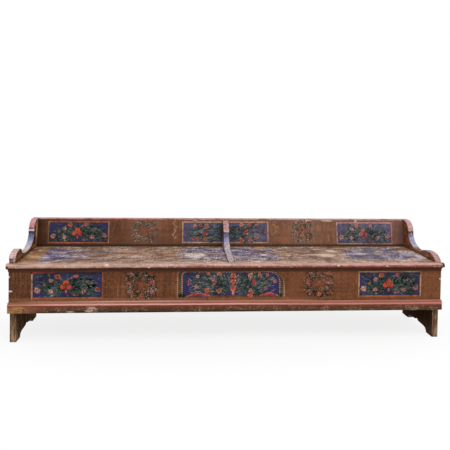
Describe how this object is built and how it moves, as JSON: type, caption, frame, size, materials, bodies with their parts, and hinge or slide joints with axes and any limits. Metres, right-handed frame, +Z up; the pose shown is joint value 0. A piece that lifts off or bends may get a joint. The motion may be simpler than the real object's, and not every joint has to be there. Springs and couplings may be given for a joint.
{
  "type": "chest bench",
  "caption": "Long painted settle: a low chest with hinged seat lids, scrolled end boards, a middle arm and a raked backrest, decorated with folk flowers.",
  "frame": {"origin": "on the floor under the middle of the bench's outer box", "axes": "+Z up, +X along the bench to the right of someone facing it, +Y to the back; the front faces -Y"},
  "size_m": [2.714, 0.605, 0.68],
  "materials": {
    "brown_painted_wood": "worn brown grained paint",
    "worn_seat_wood": "paint rubbed down to bare wood",
    "nosing_wood": "pink paint rubbed down to bare wood",
    "moulding_wood": "worn red and brown paint",
    "bare_wood": "unpainted, aged",
    "peg_wood": "driven flush and painted over",
    "forged_iron": "forged, dark and rusty"
  },
  "bodies": {
    "carcass": {"front_board": "brown_painted_wood", "backrest_board": "brown_painted_wood", "left_end_board": "brown_painted_wood", "right_end_board": "brown_painted_wood", "partition_with_middle_arm": "brown_painted_wood", "cornice_moulding": "moulding_wood", "plinth_rail": "moulding_wood", "chest_back_board": "bare_wood", "floor_plank_front": "bare_wood", "floor_plank_rear": "bare_wood", "front_board_pegs": "peg_wood", "back_board_pegs": "peg_wood", "partition_pegs": "peg_wood", "plinth_nails": "forged_iron", "left_pivot_pin": "forged_iron", "middle_pivot_pin": "forged_iron", "right_pivot_pin": "forged_iron"},
    "left_lid": {"left_lid_front_plank": "worn_seat_wood", "left_lid_rear_plank": "worn_seat_wood", "left_lid_nosing": "nosing_wood", "left_lid_nosing_nails": "forged_iron", "left_lid_batten_1": "bare_wood", "left_lid_batten_2": "bare_wood", "left_lid_batten_3": "bare_wood"},
    "right_lid": {"right_lid_front_plank": "worn_seat_wood", "right_lid_rear_plank": "worn_seat_wood", "right_lid_nosing": "nosing_wood", "right_lid_nosing_nails": "forged_iron", "right_lid_batten_1": "bare_wood", "right_lid_batten_2": "bare_wood", "right_lid_batten_3": "bare_wood"}
  },
  "joints": [
    {"name": "left_lid_hinge", "type": "hinge", "parent": "carcass", "child": "left_lid", "pos_m": [-0.664, 0.21793, 0.477], "axis": [-1, 0, 0], "range_deg": [0, 100]},
    {"name": "right_lid_hinge", "type": "hinge", "parent": "carcass", "child": "right_lid", "pos_m": [0.664, 0.21793, 0.477], "axis": [-1, 0, 0], "range_deg": [0, 100]}
  ]
}
